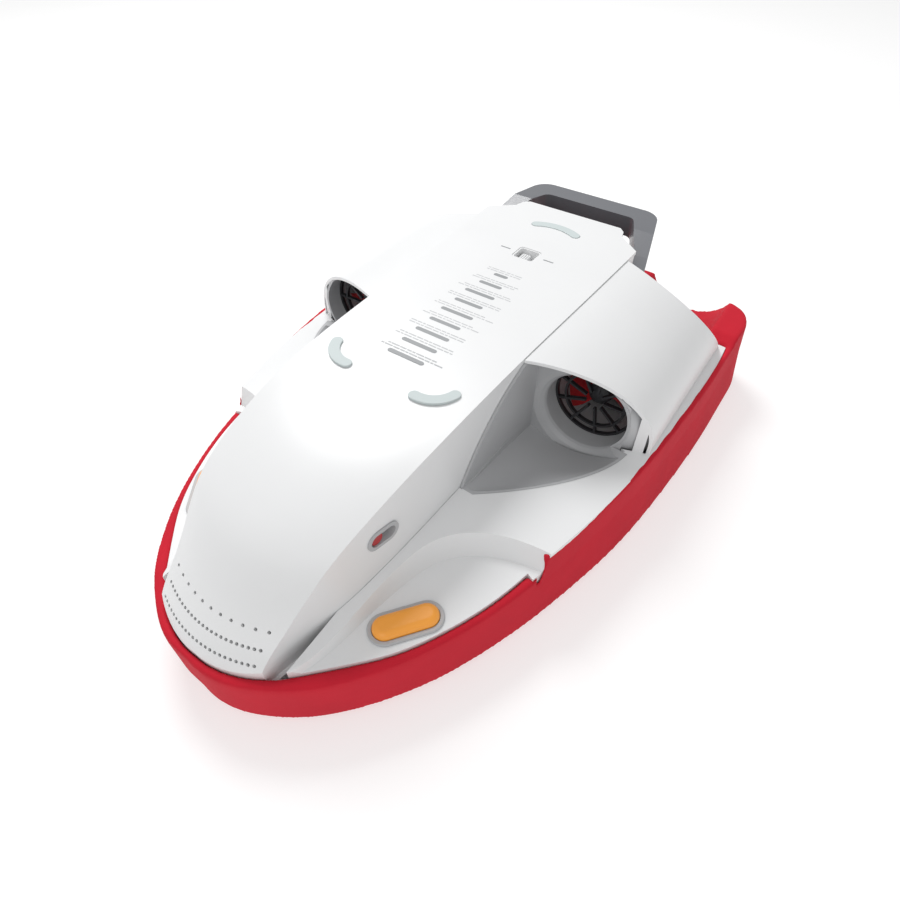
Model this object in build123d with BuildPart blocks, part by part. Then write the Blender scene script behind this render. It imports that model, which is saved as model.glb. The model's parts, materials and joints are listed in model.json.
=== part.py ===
from build123d import *
import math
import os

os.makedirs("parts", exist_ok=True)

# Powered kickboard with two ducted thrusters, lying on its foam deck with the hull side up.
# Millimetres. -Y is the nose, +Y the tail and +Z up. The origin is on the floor under the
# middle of the board. Paired pieces are made on the +X side and mirrored.

# ---------------------------------------------------------------- driving dimensions
# Board
board_length = 522.0
board_width = 356.0
foam_floor_z = 26.0  # floor of the pocket that holds the hull
foam_edge_z = 6.0  # widest line of the rim
foam_ridge_z = 42.0  # the crease along the rim
foam_side_z = 64.0  # top of the rim along the sides
foam_tail_z = 70.0  # top of the tail block
foam_grip_z = 48.0  # top of the rim beside the hand recesses
pad_inset = 40.0  # how far the flat of the deck stays inside the widest line
rim_inset = 2.5  # how far the rim's upper edge stays inside its crease
grip_step = 161.0  # from the nose to the step behind the hand recesses
grip_ramp = 10.0

# Hull
hull_top_z = 132.0
hull_rear = 74.0  # from the tail to the rear wall of the hull, at its foot
seat_gap = 0.25  # between the hull and its foam pocket, and along the seams
wall = 2.5
pan_top_z = 40.0
deck_z = 70.0
deck_fall = 6.0  # how far the deck drops from the cover to its outer edge
deck_nose_z = 53.5

# Hand recess
recess_floor_z = 49.5
recess_flank = 6.0

# Cowl over each thruster
cowl_ledge = 20.0  # from the board's widest line in to the foot of the cowl
cowl_rise = 62.0
cowl_lip = 256.0  # from the nose to the lip, beside the cover
cowl_lip_sweep = 0.39  # how the lip runs aft as it runs outward
cowl_rear_back = 30.75  # where the cowl's leaning rear meets the deck, aft of the hull's rear wall
cowl_rear_sweep = 0.45  # how that plane runs forward as it runs outward
cowl_rear_lean = 1.0  # how it runs forward as it rises

# Centre cover
cover_wall = 3.0
nose_radius = 90.0  # plan radius of the nose's bulge
drain_radius = 1.1
drain_pitch = 3.5
plate_tongue = 32.0  # how far the plate reaches past the cover's side walls
tongue_half = 50.0

# Thruster
duct_radius = 31.5
duct_wall = 2.0
duct_side = 50.0  # from the foot of the cowl in to the duct's axis
duct_z = 86.0
hump_gap = 7.5  # from the duct to the side of the centre cover
mouth_y = 20.0  # where the round duct starts
bell_radius = 7.0
trough_length = 102.0
trough_wall = 2.0
fit = 0.1  # between a piece and the hole that it is pushed into
guard_bar = 1.8
guard_depth = 3.0
guard_inside = 14.0  # from the duct's mouth to its front guard
guard_rings = 3
guard_ribs = 9
prop_blades = 3
prop_clearance = 1.0
prop_depth = 16.0
hub_radius = 9.0
pod_radius = 16.0
pod_length = 62.0
stator_vanes = 5
shaft_radius = 3.0
shaft_clearance = 0.05
bearing_width = 5.0
bearing_radius = 8.0
pod_wall = 2.0
pod_tail = 14.0
cable_radius = 2.5
cable_bend = 14.0

# Battery
battery_length = 205.0
battery_height = 43.0
battery_z = 76.0
slide_gap = 0.5
sleeve_wall = 2.0
case_wall = 2.0
cell_radius = 9.2
cell_length = 65.0
cell_rows = 3
cap_depth = 11.0
pin_radius = 1.5
pin_x = 40.0
pin_length = 3.6
seal_depth = 1.2
seal_width = 3.0
spine_half = 13.0
spine_depth = 6.0

# Handle
handle_top_z = 128.0
handle_bar = 20.0
handle_rear = 8.0  # how far the bar stays inside the tail
handle_depth = 16.0
handle_pin_radius = 2.0

# Controls
button_length = 42.0
button_width = 16.0
button_travel = 3.0
button_gap = 0.35
button_rise = 6.5  # above the recess floor
button_low = -9.0
button_lip = 2.5
lip_width = 0.9
bezel_rim = 3.0
bezel_height = 1.8
cup_wall = 1.0
cup_floor = 1.5
spring_wire = 0.5
spring_radius = 5.0
spring_turns = 4
button_x = 89.5
button_nose = 90.0  # from the nose to the button's middle
button_turn = 53.0
switch_length = 22.0
switch_width = 12.0
switch_rim = 1.3
switch_flange = 0.9
switch_depth = 4.0
knob_travel = 9.0
switch_nose = 110.0
switch_z = 93.0
latch_width = 20.0
latch_length = 18.0
latch_nose = 376.0
latch_travel = 6.0
latch_wall = 1.2
latch_floor = 1.5
bolt_length = 5.0
bolt_width = 4.0
bolt_gap = 0.3
bolt_dip = 2.6
slider_length = 8.0
slider_height = 4.5

# Feet on the cover
pad_recess = 1.0
pad_height = 1.6
pad_width = 8.0
front_pad_radius = 20.0
front_pad_x = 30.0
front_pad_nose = 205.0
front_pad_arc = 80.0
rear_pad_radius = 38.0
rear_pad_nose = 393.0
rear_pad_arc = 60.0

# Inside the hull
controller_half = 36.0
controller_length = 100.0
controller_height = 32.0
controller_wall = 2.0
lid_depth = 2.5
board_thickness = 1.6
block_side = 23.0  # from the side of the cover in to the buoyancy block
block_nose = 56.0
frame_depth = 3.0
boss_radius = 4.0
screw_radius = 1.6
screw_head_radius = 3.0
screw_bite = 6.0

# ---------------------------------------------------------------- worked out from them
half_length = board_length / 2
button_dir = (math.cos(math.radians(button_turn)), math.sin(math.radians(button_turn)), 0)
half_width = board_width / 2
nose_y = -half_length
button_plane = Plane((button_x, nose_y + button_nose, recess_floor_z), x_dir=button_dir)
tail_y = half_length
hull_rear_y = tail_y - hull_rear
grip_y = nose_y + grip_step
cowl_foot = half_width - cowl_ledge
duct_x = cowl_foot - duct_side
duct_outer = duct_radius + duct_wall
hump_half = duct_x - duct_outer - hump_gap
cover_end_y = hull_rear_y - 19.0
lip_y = nose_y + cowl_lip

# Stations of the widest line: share of half the width, share of half the length, and how far
# the crease above it stays inside.
edge_stations = (
    (0.0000, -1.0000, 0),
    (0.1236, -0.9943, 0),
    (0.2809, -0.9464, 0),
    (0.3876, -0.8927, 0),
    (0.4831, -0.8238, 0.5),
    (0.5674, -0.7471, 1),
    (0.6573, -0.6437, 2),
    (0.7303, -0.5326, 2.5),
    (0.8034, -0.3946, 4),
    (0.8596, -0.2605, 5.5),
    (0.9213, -0.0805, 6.5),
    (0.9607, 0.1149, 6.5),
    (0.9860, 0.3218, 7),
    (1.0000, 0.5479, 7),
    (1.0000, 0.7471, 6.5),
    (0.9888, 0.8621, 5),
    (0.9270, 0.9425, 5),
    (0.8146, 0.9770, 4),
    (0.6180, 0.9943, 3),
    (0.3371, 1.0000, 2),
    (0.0000, 1.0000, 2),
)
edge_line = [(x * half_width, y * half_length) for x, y, _ in edge_stations]
crease_insets = [crease for _, _, crease in edge_stations]
front_stations = 9  # the stations beside the hand recess, with the one at the step
front_rims = (5, 6, 7, 9.5, 9.5, 8, 8, 8.5, 11.5)
aft_rims = (6, 7.2, 9.3, 10, 11, 12.5, 15, 16)


def inset(points, distances):
    """Points moved to the right of their run, each by its own distance."""
    moved = []
    for index, (x, y) in enumerate(points):
        before = points[max(index - 1, 0)]
        after = points[min(index + 1, len(points) - 1)]
        if index == 0 and x == 0:
            before = (-after[0], after[1])
        if index == len(points) - 1 and x == 0:
            after = (-before[0], before[1])
        run = Vector(after[0] - before[0], after[1] - before[1]).normalized()
        moved.append((x - run.Y * distances[index], y + run.X * distances[index]))
    return moved


def board_outline(height, distances):
    """The whole board's outline, inside its widest line by a distance at each station."""
    points = inset(edge_line, distances)
    far_side = [(-x, y) for x, y in reversed(points[1:-1])]
    with BuildSketch(Plane.XY.offset(height)) as outline:
        with BuildLine():
            Spline(*points, *far_side, periodic=True)
        make_face()
    return outline.sketch


def hull_block(low, high, distance):
    """The hull's plan, with its step behind the hand recess, as a block."""
    front = inset(edge_line[:front_stations], [rim + distance for rim in front_rims])
    aft_line = edge_line[front_stations - 1 : front_stations - 1 + len(aft_rims)]
    aft = inset(aft_line, [rim + distance for rim in aft_rims])
    step = Vector(*aft_line[1]) - Vector(*aft_line[0])
    step = step.normalized() * distance
    front[-1] = (front[-1][0] + step.X, front[-1][1] + step.Y)
    aft[0] = (aft[0][0] + step.X, aft[0][1] + step.Y)
    with BuildPart() as block:
        with BuildSketch(Plane.XY.offset(low)):
            with BuildLine():
                Spline(*front)
                Line(front[-1], aft[0])
                Spline(*aft)
                Line(aft[-1], (0, aft[-1][1]))
                mirror(about=Plane.YZ)
            make_face()
        extrude(amount=high - low)
        split(bisect_by=Plane.XZ.offset(-(hull_rear_y - distance)), keep=Keep.TOP)
    return block.part


def half(side):
    """A block on the +X side of the board, for taking half of a shape."""
    return Pos(side * board_width / 2, 0, hull_top_z) * Box(board_width, 2 * board_length, 3 * hull_top_z)


def slab(x_half, low_y, high_y, low_z, high_z):
    """A block centred on X."""
    with BuildPart() as block:
        with Locations((0, (low_y + high_y) / 2, (low_z + high_z) / 2)):
            Box(2 * x_half, high_y - low_y, high_z - low_z)
    return block.part


def lifted(profile, start, run):
    """A closed YZ profile, extruded along X from start."""
    with BuildPart() as block:
        with BuildSketch(Plane.YZ.offset(start)):
            with BuildLine():
                Polyline(*profile, close=True)
            make_face()
        extrude(amount=run)
    return block.part


# Side of the centre cover: distance from the nose, and how much wider than hump_half.
hump_stations = ((-2, -25), (21, -23), (50, -18), (71, -13), (103, -8), (162, -3), (256, 0), (429, 5))


def hump_side(extra):
    points = [(hump_half + more + extra, nose_y + back) for back, more in hump_stations]
    points.append((hump_half + hump_stations[-1][1] + extra, tail_y))
    return points


def hump_block(low, high, extra):
    """The centre cover's plan as a block, wider all round by extra."""
    with BuildPart() as block:
        with BuildSketch(Plane.XY.offset(low)):
            with BuildLine():
                side = Spline(*hump_side(extra))
                Line(side @ 1, (0, tail_y))
                Line(side @ 0, (0, (side @ 0).Y))
                mirror(about=Plane.YZ)
            make_face()
        extrude(amount=high - low)
    return block.part


# Centre line of the cover: distance from the nose, and how far below the flat top.
crown_stations = (
    (5, 82),
    (10, 74),
    (24, 61),
    (37, 48),
    (56, 29),
    (86, 15),
    (111, 8.5),
    (140, 4),
    (199, 0.5),
    (230, 0.1),
    (261, 0),
)


def crown_block(depth):
    """What lies under the cover's top, lowered by depth, over the board's whole width."""
    crown = [(nose_y + back, hull_top_z - down) for back, down in crown_stations]
    crown = inset(crown, [-depth] * len(crown))
    end_y = tail_y + 60
    sections = []
    for share in (-1, -0.5, 0, 0.5, 1):
        across = share * half_width / 2
        shift = across**2 / (2 * nose_radius)
        points = [(y + shift, z) for y, z in crown]
        with BuildSketch(Plane.YZ.offset(across)) as section:
            with BuildLine():
                top = Spline(*points)
                rear_top = (end_y + shift, points[-1][1])
                Polyline(top @ 1, rear_top, (rear_top[0], 0), (points[0][0], 0), top @ 0)
            make_face()
        sections.append(section.sketch)
    with BuildPart() as block:
        loft(sections=sections)
    return block.part


# ---------------------------------------------------------------- foam deck
with BuildPart() as foam_deck:
    levels = (
        (0, [pad_inset] * len(edge_line)),
        (foam_edge_z, [0] * len(edge_line)),
        (foam_ridge_z, crease_insets),
        (foam_tail_z, [crease + rim_inset for crease in crease_insets]),
    )
    loft(sections=[board_outline(height, distances) for height, distances in levels], ruled=True)
    high = foam_tail_z + 20
    rim_top = (
        (nose_y - 20, foam_grip_z),
        (grip_y, foam_grip_z),
        (grip_y + grip_ramp, foam_side_z),
        (hull_rear_y, foam_side_z),
        (hull_rear_y + grip_ramp, foam_tail_z),
        (tail_y + 20, foam_tail_z),
        (tail_y + 20, high),
        (nose_y - 20, high),
    )
    add(lifted(rim_top, -board_width, 2 * board_width), mode=Mode.SUBTRACT)
    add(hull_block(foam_floor_z, high, -seat_gap), mode=Mode.SUBTRACT)
    with Locations((duct_x, tail_y, duct_z), (-duct_x, tail_y, duct_z)):
        Cylinder(duct_outer + 8, 2 * (hull_rear + 6), rotation=(90, 0, 0), mode=Mode.SUBTRACT)
foam_deck.part.label = "foam_deck"
export_step(foam_deck.part, "parts/foam_deck.step")

# ---------------------------------------------------------------- lower pan
shell_boss_shares = ((0.662, -0.42), (0.845, 0.10), (0.86, 0.55), (0.352, -0.78))
shell_bosses = [(x * half_width, y * half_length) for x, y in shell_boss_shares]
cover_bosses = [(hump_half - 13.0, nose_y + 111.0), (hump_half - 29.0, nose_y + 46.0)]
bosses = shell_bosses + cover_bosses
bosses += [(-x, y) for x, y in bosses]
cable_z = foam_floor_z + wall + cable_radius + 1.0
guard_y = mouth_y + guard_inside
prop_y = guard_y + guard_depth + 8.0
pod_y = prop_y + prop_depth + 1.5
seat_depth = bearing_width + 1.0
motor_y = pod_y + seat_depth
cable_y = motor_y + 20.0


def columns(places, radius, low, high):
    """Round upright columns at the places."""
    with BuildPart() as group:
        with Locations(*[(x, y, low) for x, y in places]):
            Cylinder(radius, high - low, align=(Align.CENTER, Align.CENTER, Align.MIN))
    return group.part


with BuildPart() as lower_pan:
    add(hull_block(foam_floor_z, pan_top_z, 0))
    add(hull_block(foam_floor_z + wall, pan_top_z, wall), mode=Mode.SUBTRACT)
    rib = hull_block(foam_floor_z + wall, pan_top_z, wall)
    rib &= hump_block(foam_floor_z, pan_top_z, wall + seat_gap)
    rib -= hump_block(foam_floor_z, pan_top_z, -cover_wall)
    add(rib)
    add(columns(bosses, boss_radius, foam_floor_z, pan_top_z))
    add(columns(bosses, screw_radius + fit, foam_floor_z, pan_top_z), mode=Mode.SUBTRACT)
    add(columns(bosses, screw_head_radius + fit, foam_floor_z, foam_floor_z + wall), mode=Mode.SUBTRACT)
    with Locations((0, cable_y, cable_z)):
        Cylinder(cable_radius + fit, 2 * duct_x, rotation=(0, 90, 0), mode=Mode.SUBTRACT)
lower_pan.part.label = "lower_pan"
export_step(lower_pan.part, "parts/lower_pan.step")


# ---------------------------------------------------------------- intake and duct shapes
def on_duct(y):
    """A plane across the duct's axis, looking aft."""
    return Plane((duct_x, y, duct_z), x_dir=(1, 0, 0), z_dir=(0, 1, 0))


def turned(profile):
    """A piece turned about the duct's axis, from (radius, y) points."""
    with BuildPart() as piece:
        with BuildSketch(Plane.XY.offset(duct_z)):
            with BuildLine():
                Polyline(*[(duct_x + radius, y) for radius, y in profile], close=True)
            make_face()
        revolve(axis=Axis((duct_x, 0, duct_z), (0, 1, 0)))
    return piece.part


def tube(inner, outer, low, high):
    """A ring about the duct's axis, or a rod when inner is 0."""
    return turned(((inner, low), (outer, low), (outer, high), (inner, high)))


apex_y = mouth_y - trough_length


def trough_block(grow):
    """The intake scoop, from a point beside the cover to a half round at the mouth."""
    inner_x = hump_half + 2.0
    floor_z = duct_z - duct_radius - 4
    sections = []
    for share in (0.04, 0.25, 0.5, 0.75, 1.0):
        y = apex_y + share * trough_length
        reach = (duct_x + duct_outer + 8 - inner_x) * (1 - (1 - share) ** 1.7)
        depth = (deck_z - floor_z) * share**0.9
        top = deck_z + 2
        left = inner_x - grow
        right = inner_x + reach + grow
        bottom = deck_z - depth - grow
        with BuildSketch(Plane.XZ.offset(-y)) as section:
            with BuildLine():
                Line((left, top), (left, bottom + depth * 0.35))
                Spline(
                    (left, bottom + depth * 0.35),
                    (left + (right - left) * 0.45, bottom),
                    (right, deck_z - 1),
                )
                Polyline((right, deck_z - 1), (right, top), (left, top))
            make_face()
        sections.append(section.sketch)
    with BuildPart() as block:
        loft(sections=sections)
    return block.part


def cowl_rear(shift):
    """The leaning plane of the cowl's rear, moved aft by shift."""
    origin = (hump_half, hull_rear_y + cowl_rear_back + shift, deck_z)
    return Plane(origin, z_dir=(-cowl_rear_sweep, -1, -cowl_rear_lean))


def cowl_block(grow, lip_shift, rear_shift):
    """The cowl's quarter ellipse, between its swept lip and its leaning rear."""
    centre_x = hump_half - 1
    centre_z = hull_top_z - 1 - cowl_rise
    reach = cowl_foot - centre_x + grow
    rise = cowl_rise + grow
    with BuildPart() as block:
        with BuildSketch(Plane.XZ.offset(-nose_y)):
            with BuildLine():
                EllipticalCenterArc((centre_x, centre_z), reach, rise, arc_size=90)
                Polyline(
                    (centre_x, centre_z + rise),
                    (centre_x - 12, centre_z + rise),
                    (centre_x - 12, deck_z - 12),
                    (centre_x + reach, deck_z - 12),
                    (centre_x + reach, centre_z),
                )
            make_face()
        extrude(amount=-board_length)
        lip = Plane((hump_half, lip_y + lip_shift, 0), z_dir=(-cowl_lip_sweep, 1, 0))
        split(bisect_by=lip, keep=Keep.TOP)
        split(bisect_by=cowl_rear(-rear_shift), keep=Keep.TOP)
    return block.part


def deck_block(depth):
    """What lies under the deck's surface, lowered by depth."""
    profile = (
        (nose_y - 20, deck_nose_z - 2),
        (nose_y + 21, deck_nose_z),
        (nose_y + 83, deck_z - 10.5),
        (nose_y + 175, deck_z - 0.8),
        (nose_y + 230, deck_z),
    )
    with BuildPart() as block:
        with BuildSketch(Plane.YZ.offset(duct_x / 2)):
            with BuildLine():
                top = Spline(*[(y, z - depth) for y, z in profile], tangents=((1, 0.1), (1, 0)))
                Polyline(top @ 1, (tail_y + 20, deck_z - depth), (tail_y + 20, 0), (nose_y - 20, 0), top @ 0)
            make_face()
        extrude(amount=board_width, dir=(1, 0, -deck_fall / (cowl_foot - hump_half)))
    return block.part


# Inner wall of the hand recess: how far outside hump_half, and distance from the nose.
recess_stations = ((-10, 26), (-2, 54), (1, 81), (6, 113), (13, 135), (28, 152), (50, 163), (74, 168))


def recess_block(grow):
    """The hand recess, with its sloping inner flank."""
    points = [(hump_half + out, nose_y + back) for out, back in recess_stations]
    sections = []
    for height, slope in ((recess_floor_z - grow, 0), (deck_z + recess_flank, 2 * recess_flank)):
        edge = inset(points, [grow + slope] * len(points))
        outside_x = board_width
        with BuildSketch(Plane.XY.offset(height)) as section:
            with BuildLine():
                side = Spline(*edge)
                Polyline(
                    side @ 1,
                    (outside_x, (side @ 1).Y),
                    (outside_x, nose_y - 60),
                    ((side @ 0).X, nose_y - 60),
                    side @ 0,
                )
            make_face()
        sections.append(section.sketch)
    with BuildPart() as block:
        loft(sections=sections, ruled=True)
    return block.part


# ---------------------------------------------------------------- side shells
def shell_solid(low, distance, lip_shift, rear_shift):
    """A side shell's outside, or its hollow when it is drawn inside by the wall."""
    solid = hull_block(low, hull_top_z, distance) & deck_block(distance) & half(1)
    solid -= hump_block(0, 2 * hull_top_z, seat_gap + distance)
    solid += cowl_block(-distance, lip_shift, rear_shift) & hull_block(low, hull_top_z, distance)
    solid -= hump_block(0, 2 * hull_top_z, seat_gap)
    return solid


shell_outside = shell_solid(pan_top_z, 0, 0, 0) - recess_block(0)
shell_hollow = shell_solid(0, wall, -1, wall) - recess_block(wall)
shell_posts = columns(shell_bosses, boss_radius, pan_top_z, hull_top_z) & shell_outside
screw_holes = columns(bosses, screw_radius + fit, pan_top_z, pan_top_z + screw_bite + 1)
bell_y = mouth_y - bell_radius
bell_outer = duct_radius + bell_radius + duct_wall
mouth_end_y = mouth_y + duct_wall

with BuildPart() as side_shell_left:
    add(shell_outside)
    add(shell_hollow, mode=Mode.SUBTRACT)
    add(shell_posts)
    add(screw_holes, mode=Mode.SUBTRACT)
    add(trough_block(trough_wall + seat_gap), mode=Mode.SUBTRACT)
    add(tube(0, duct_outer + seat_gap, mouth_y, tail_y), mode=Mode.SUBTRACT)
    cheek_room = (
        (apex_y + 3.5, deck_z + 5),
        (apex_y + 3.5, deck_z - 2.5),
        (bell_y + 1, duct_z - duct_radius - 0.5),
        (bell_y + 1, deck_z + 5),
    )
    cheek_strip = hump_block(0, deck_z + 5, trough_wall + 2 * seat_gap)
    add(lifted(cheek_room, 0, board_width) & cheek_strip, mode=Mode.SUBTRACT)
    collar_room = tube(0, bell_outer + seat_gap, bell_y - seat_gap, mouth_end_y + seat_gap)
    add(collar_room & deck_block(-1), mode=Mode.SUBTRACT)
    with BuildSketch(button_plane):
        SlotOverall(button_length + 2 * bezel_rim - 2, button_width + 2 * bezel_rim - 2)
    extrude(amount=2 * wall, both=True, mode=Mode.SUBTRACT)
side_shell_left.part.label = "side_shell_left"
export_step(side_shell_left.part, "parts/side_shell_left.step")

with BuildPart() as side_shell_right:
    mirror(side_shell_left.part, about=Plane.YZ)
side_shell_right.part.label = "side_shell_right"
export_step(side_shell_right.part, "parts/side_shell_right.step")

# ---------------------------------------------------------------- centre cover
cover_outside = crown_block(0) & hump_block(pan_top_z, hull_top_z + 1, 0)
cover_outside -= slab(board_width, nose_y - 20, 0, 0, foam_tail_z) - hull_block(0, hull_top_z, seat_gap)
cover_hollow = crown_block(cover_wall) & hump_block(0, hull_top_z + 1, -cover_wall)
switch_y = nose_y + switch_nose
switch_x = hump_half - 7.4
switch_plane = Plane((switch_x, switch_y, switch_z), x_dir=(0.12, 1, -0.14), z_dir=(1, -0.12, 0))
latch_y = nose_y + latch_nose


def pad_sketch(x, y, radius, start, arc, width):
    """An arc-shaped foot, seen from above."""
    with BuildSketch(Plane.XY.offset(hull_top_z)) as foot:
        with Locations((x, y)):
            SlotArc(CenterArc((0, 0), radius, start, arc), width)
    return foot.sketch


# Drain holes in the nose: height, distance from the nose, how many, and the pitch's share.
drain_rows = ((57.5, 9.8, 23), (64.5, 17.0, 23), (72.0, 25.5, 11))


def drain_tools():
    """Round tools square to the nose's slope, for its rows of holes."""
    with BuildPart() as tools:
        for height, back, count in drain_rows:
            gap = drain_pitch * (drain_rows[0][2] - 1) / (count - 1)
            places = []
            for index in range(count):
                x = (index - (count - 1) / 2) * gap
                y = nose_y + back + x**2 / (2 * nose_radius)
                turn = math.degrees(math.atan(x / nose_radius))
                places.append(Location((x, y, height), (45, 0, turn)))
            with Locations(*places):
                Cylinder(drain_radius, 5 * cover_wall)
    return tools.part


front_pad_y = nose_y + front_pad_nose
rear_pad_y = nose_y + rear_pad_nose
foot_pads = {
    "front_foot_left": (front_pad_x, front_pad_y, front_pad_radius, -95, front_pad_arc),
    "front_foot_right": (-front_pad_x, front_pad_y, front_pad_radius, -165, front_pad_arc),
    "rear_foot": (0, rear_pad_y, rear_pad_radius, 60, rear_pad_arc),
}

with BuildPart() as centre_cover:
    add(cover_outside)
    add(cover_hollow, mode=Mode.SUBTRACT)
    add(columns(cover_bosses, boss_radius, pan_top_z, hull_top_z) & cover_outside)
    mirror(columns(cover_bosses, boss_radius, pan_top_z, hull_top_z) & cover_outside, about=Plane.YZ)
    add(screw_holes, mode=Mode.SUBTRACT)
    add(drain_tools(), mode=Mode.SUBTRACT)
    with BuildSketch(Plane.XY):
        with BuildLine():
            corner = hump_half + 8
            Polyline(
                (0, cover_end_y + plate_tongue),
                (tongue_half - 5, cover_end_y + plate_tongue),
                (tongue_half, cover_end_y + plate_tongue - 5),
                (tongue_half + 2, cover_end_y + plate_tongue - 13),
                (corner, cover_end_y),
                (corner, tail_y + 90),
                (0, tail_y + 90),
            )
            mirror(about=Plane.YZ)
        make_face()
    extrude(amount=hull_top_z + 5, mode=Mode.SUBTRACT)
    with BuildSketch(Plane.XY):
        with Locations((0, cover_end_y + 60)):
            Rectangle(2 * (hump_half + 20), 120)
    extrude(amount=hull_top_z - cover_wall, mode=Mode.SUBTRACT)
    for x, y, radius, start, arc in foot_pads.values():
        add(pad_sketch(x, y, radius, start, arc, pad_width + 2 * seat_gap))
    extrude(amount=-pad_recess, mode=Mode.SUBTRACT)
    with BuildSketch(Plane.XY.offset(hull_top_z)):
        with Locations((0, latch_y)):
            RectangleRounded(latch_width, latch_length, 3)
    extrude(amount=-2 * cover_wall, mode=Mode.SUBTRACT)
    with BuildSketch(switch_plane):
        SlotOverall(switch_length, switch_width)
    extrude(amount=12, both=True, mode=Mode.SUBTRACT)
centre_cover.part.label = "centre_cover"
export_step(centre_cover.part, "parts/centre_cover.step")

for name, (x, y, radius, start, arc) in foot_pads.items():
    with BuildPart() as foot_pad:
        add(pad_sketch(x, y, radius, start, arc, pad_width))
        extrude(amount=pad_height - pad_recess)
        add(pad_sketch(x, y, radius, start, arc, pad_width))
        extrude(amount=-pad_recess)
        top_edges = foot_pad.edges().group_by(Axis.Z)[-1]
        fillet(top_edges, 0.4)
    foot_pad.part.label = name
    export_step(foot_pad.part, f"parts/{name}.step")

# ---------------------------------------------------------------- intake ducts
cowl_roof = hull_top_z - 1 - wall - seat_gap
mouth_room = cowl_block(-wall - seat_gap, -1, wall) + lifted(
    ((bell_y - 1, pan_top_z), (mouth_y + 5, pan_top_z), (mouth_y + 5, deck_z - 8), (bell_y - 1, deck_z - 8)),
    hump_half,
    duct_outer + bell_outer + hump_gap,
)
mouth_slab = lifted(
    ((bell_y, 0), (mouth_end_y, 0), (mouth_end_y, hull_top_z), (bell_y, hull_top_z)),
    0,
    board_width,
)
collar = tube(1, bell_outer, bell_y, mouth_end_y) & mouth_room
bulkhead = (cowl_block(-wall - seat_gap, -1, wall) & mouth_slab) - deck_block(-seat_gap)
bell = turned(
    (
        (0, bell_y - 1),
        (duct_radius + bell_radius, bell_y - 1),
        (duct_radius + bell_radius, bell_y),
        (duct_radius + bell_radius * 0.45, bell_y + bell_radius * 0.3),
        (duct_radius + bell_radius * 0.12, bell_y + bell_radius * 0.7),
        (duct_radius, mouth_y),
        (duct_radius, tail_y),
        (0, tail_y),
    )
)
scoop = (trough_block(trough_wall) & deck_block(0)) - trough_block(0)
hump_clear = hump_block(0, 2 * hull_top_z, seat_gap)
cheek_plan = hump_block(0, cowl_roof, seat_gap + trough_wall) - hump_clear
with BuildPart() as cheek_side:
    with BuildSketch(Plane.YZ):
        with BuildLine():
            cheek_low = Line((bell_y, duct_z - duct_radius), (apex_y + 4, deck_z - 2))
            middle = ((apex_y + lip_y) / 2 - 5, (deck_z + cowl_roof) / 2 + 4)
            cheek_top = ThreePointArc(cheek_low @ 1, middle, (lip_y, cowl_roof))
            Polyline(cheek_top @ 1, (bell_y, cowl_roof), cheek_low @ 0)
        make_face()
    extrude(amount=board_width)
cheek = cheek_plan & cheek_side.part
duct_tube = tube(duct_radius, duct_outer, mouth_y, hull_rear_y)
end_wall = trough_block(trough_wall) & mouth_slab & deck_block(0)

with BuildPart() as intake_duct_left:
    add(duct_tube)
    split(bisect_by=cowl_rear(-1), keep=Keep.TOP)
    add(collar)
    add(bulkhead)
    add(scoop)
    add(cheek)
    add(end_wall)
    add(bell, mode=Mode.SUBTRACT)
    add(hump_clear, mode=Mode.SUBTRACT)


# ---------------------------------------------------------------- thruster shapes
def guard(y):
    """Rings joined by radial ribs, across the duct at y."""
    outer = duct_radius - fit
    inner = outer - guard_bar
    step = (inner - hub_radius + guard_bar) / guard_rings
    with BuildPart() as grille:
        with BuildSketch(on_duct(y)):
            Circle(outer)
            Circle(inner, mode=Mode.SUBTRACT)
            for ring in range(guard_rings):
                Circle(hub_radius + ring * step)
                Circle(hub_radius + ring * step - guard_bar, mode=Mode.SUBTRACT)
            with PolarLocations((inner + hub_radius) / 2, guard_ribs):
                Rectangle(inner - hub_radius + 2 * guard_bar, guard_bar)
            Circle(hub_radius - guard_bar, mode=Mode.SUBTRACT)
        extrude(amount=guard_depth)
    return grille.part


motor_length = pod_length - 2 * seat_depth - 4.0
rear_seat_y = motor_y + motor_length
bore = shaft_radius + shaft_clearance

propeller_sections = ((hub_radius - 2, 15, 4.0, 62), (19, 24, 2.6, 40), (duct_radius + 3, 25, 1.6, 27))


def propeller_solid():
    """A hub with twisted blades, trimmed to run inside the duct."""
    middle_y = prop_y + prop_depth / 2
    blade_sections = []
    for radius, chord, thick, pitch in propeller_sections:
        angle = math.radians(pitch)
        section_plane = Plane(
            (duct_x, middle_y, duct_z + radius),
            x_dir=(math.cos(angle), math.sin(angle), 0),
            z_dir=(0, 0, 1),
        )
        with BuildSketch(section_plane) as section:
            Ellipse(chord / 2, thick / 2)
        blade_sections.append(section.sketch)
    with BuildPart() as blade:
        loft(sections=blade_sections)
    axis = Axis((duct_x, 0, duct_z), (0, 1, 0))
    blades = [blade.part.rotate(axis, 360 * turn / prop_blades) for turn in range(prop_blades)]
    room = tube(hub_radius - 1, duct_radius - prop_clearance, prop_y, prop_y + prop_depth)
    with BuildPart() as whole:
        add(tube(bore, hub_radius, prop_y, prop_y + prop_depth))
        for one in blades:
            add(one & room)
    return whole.part


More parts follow.
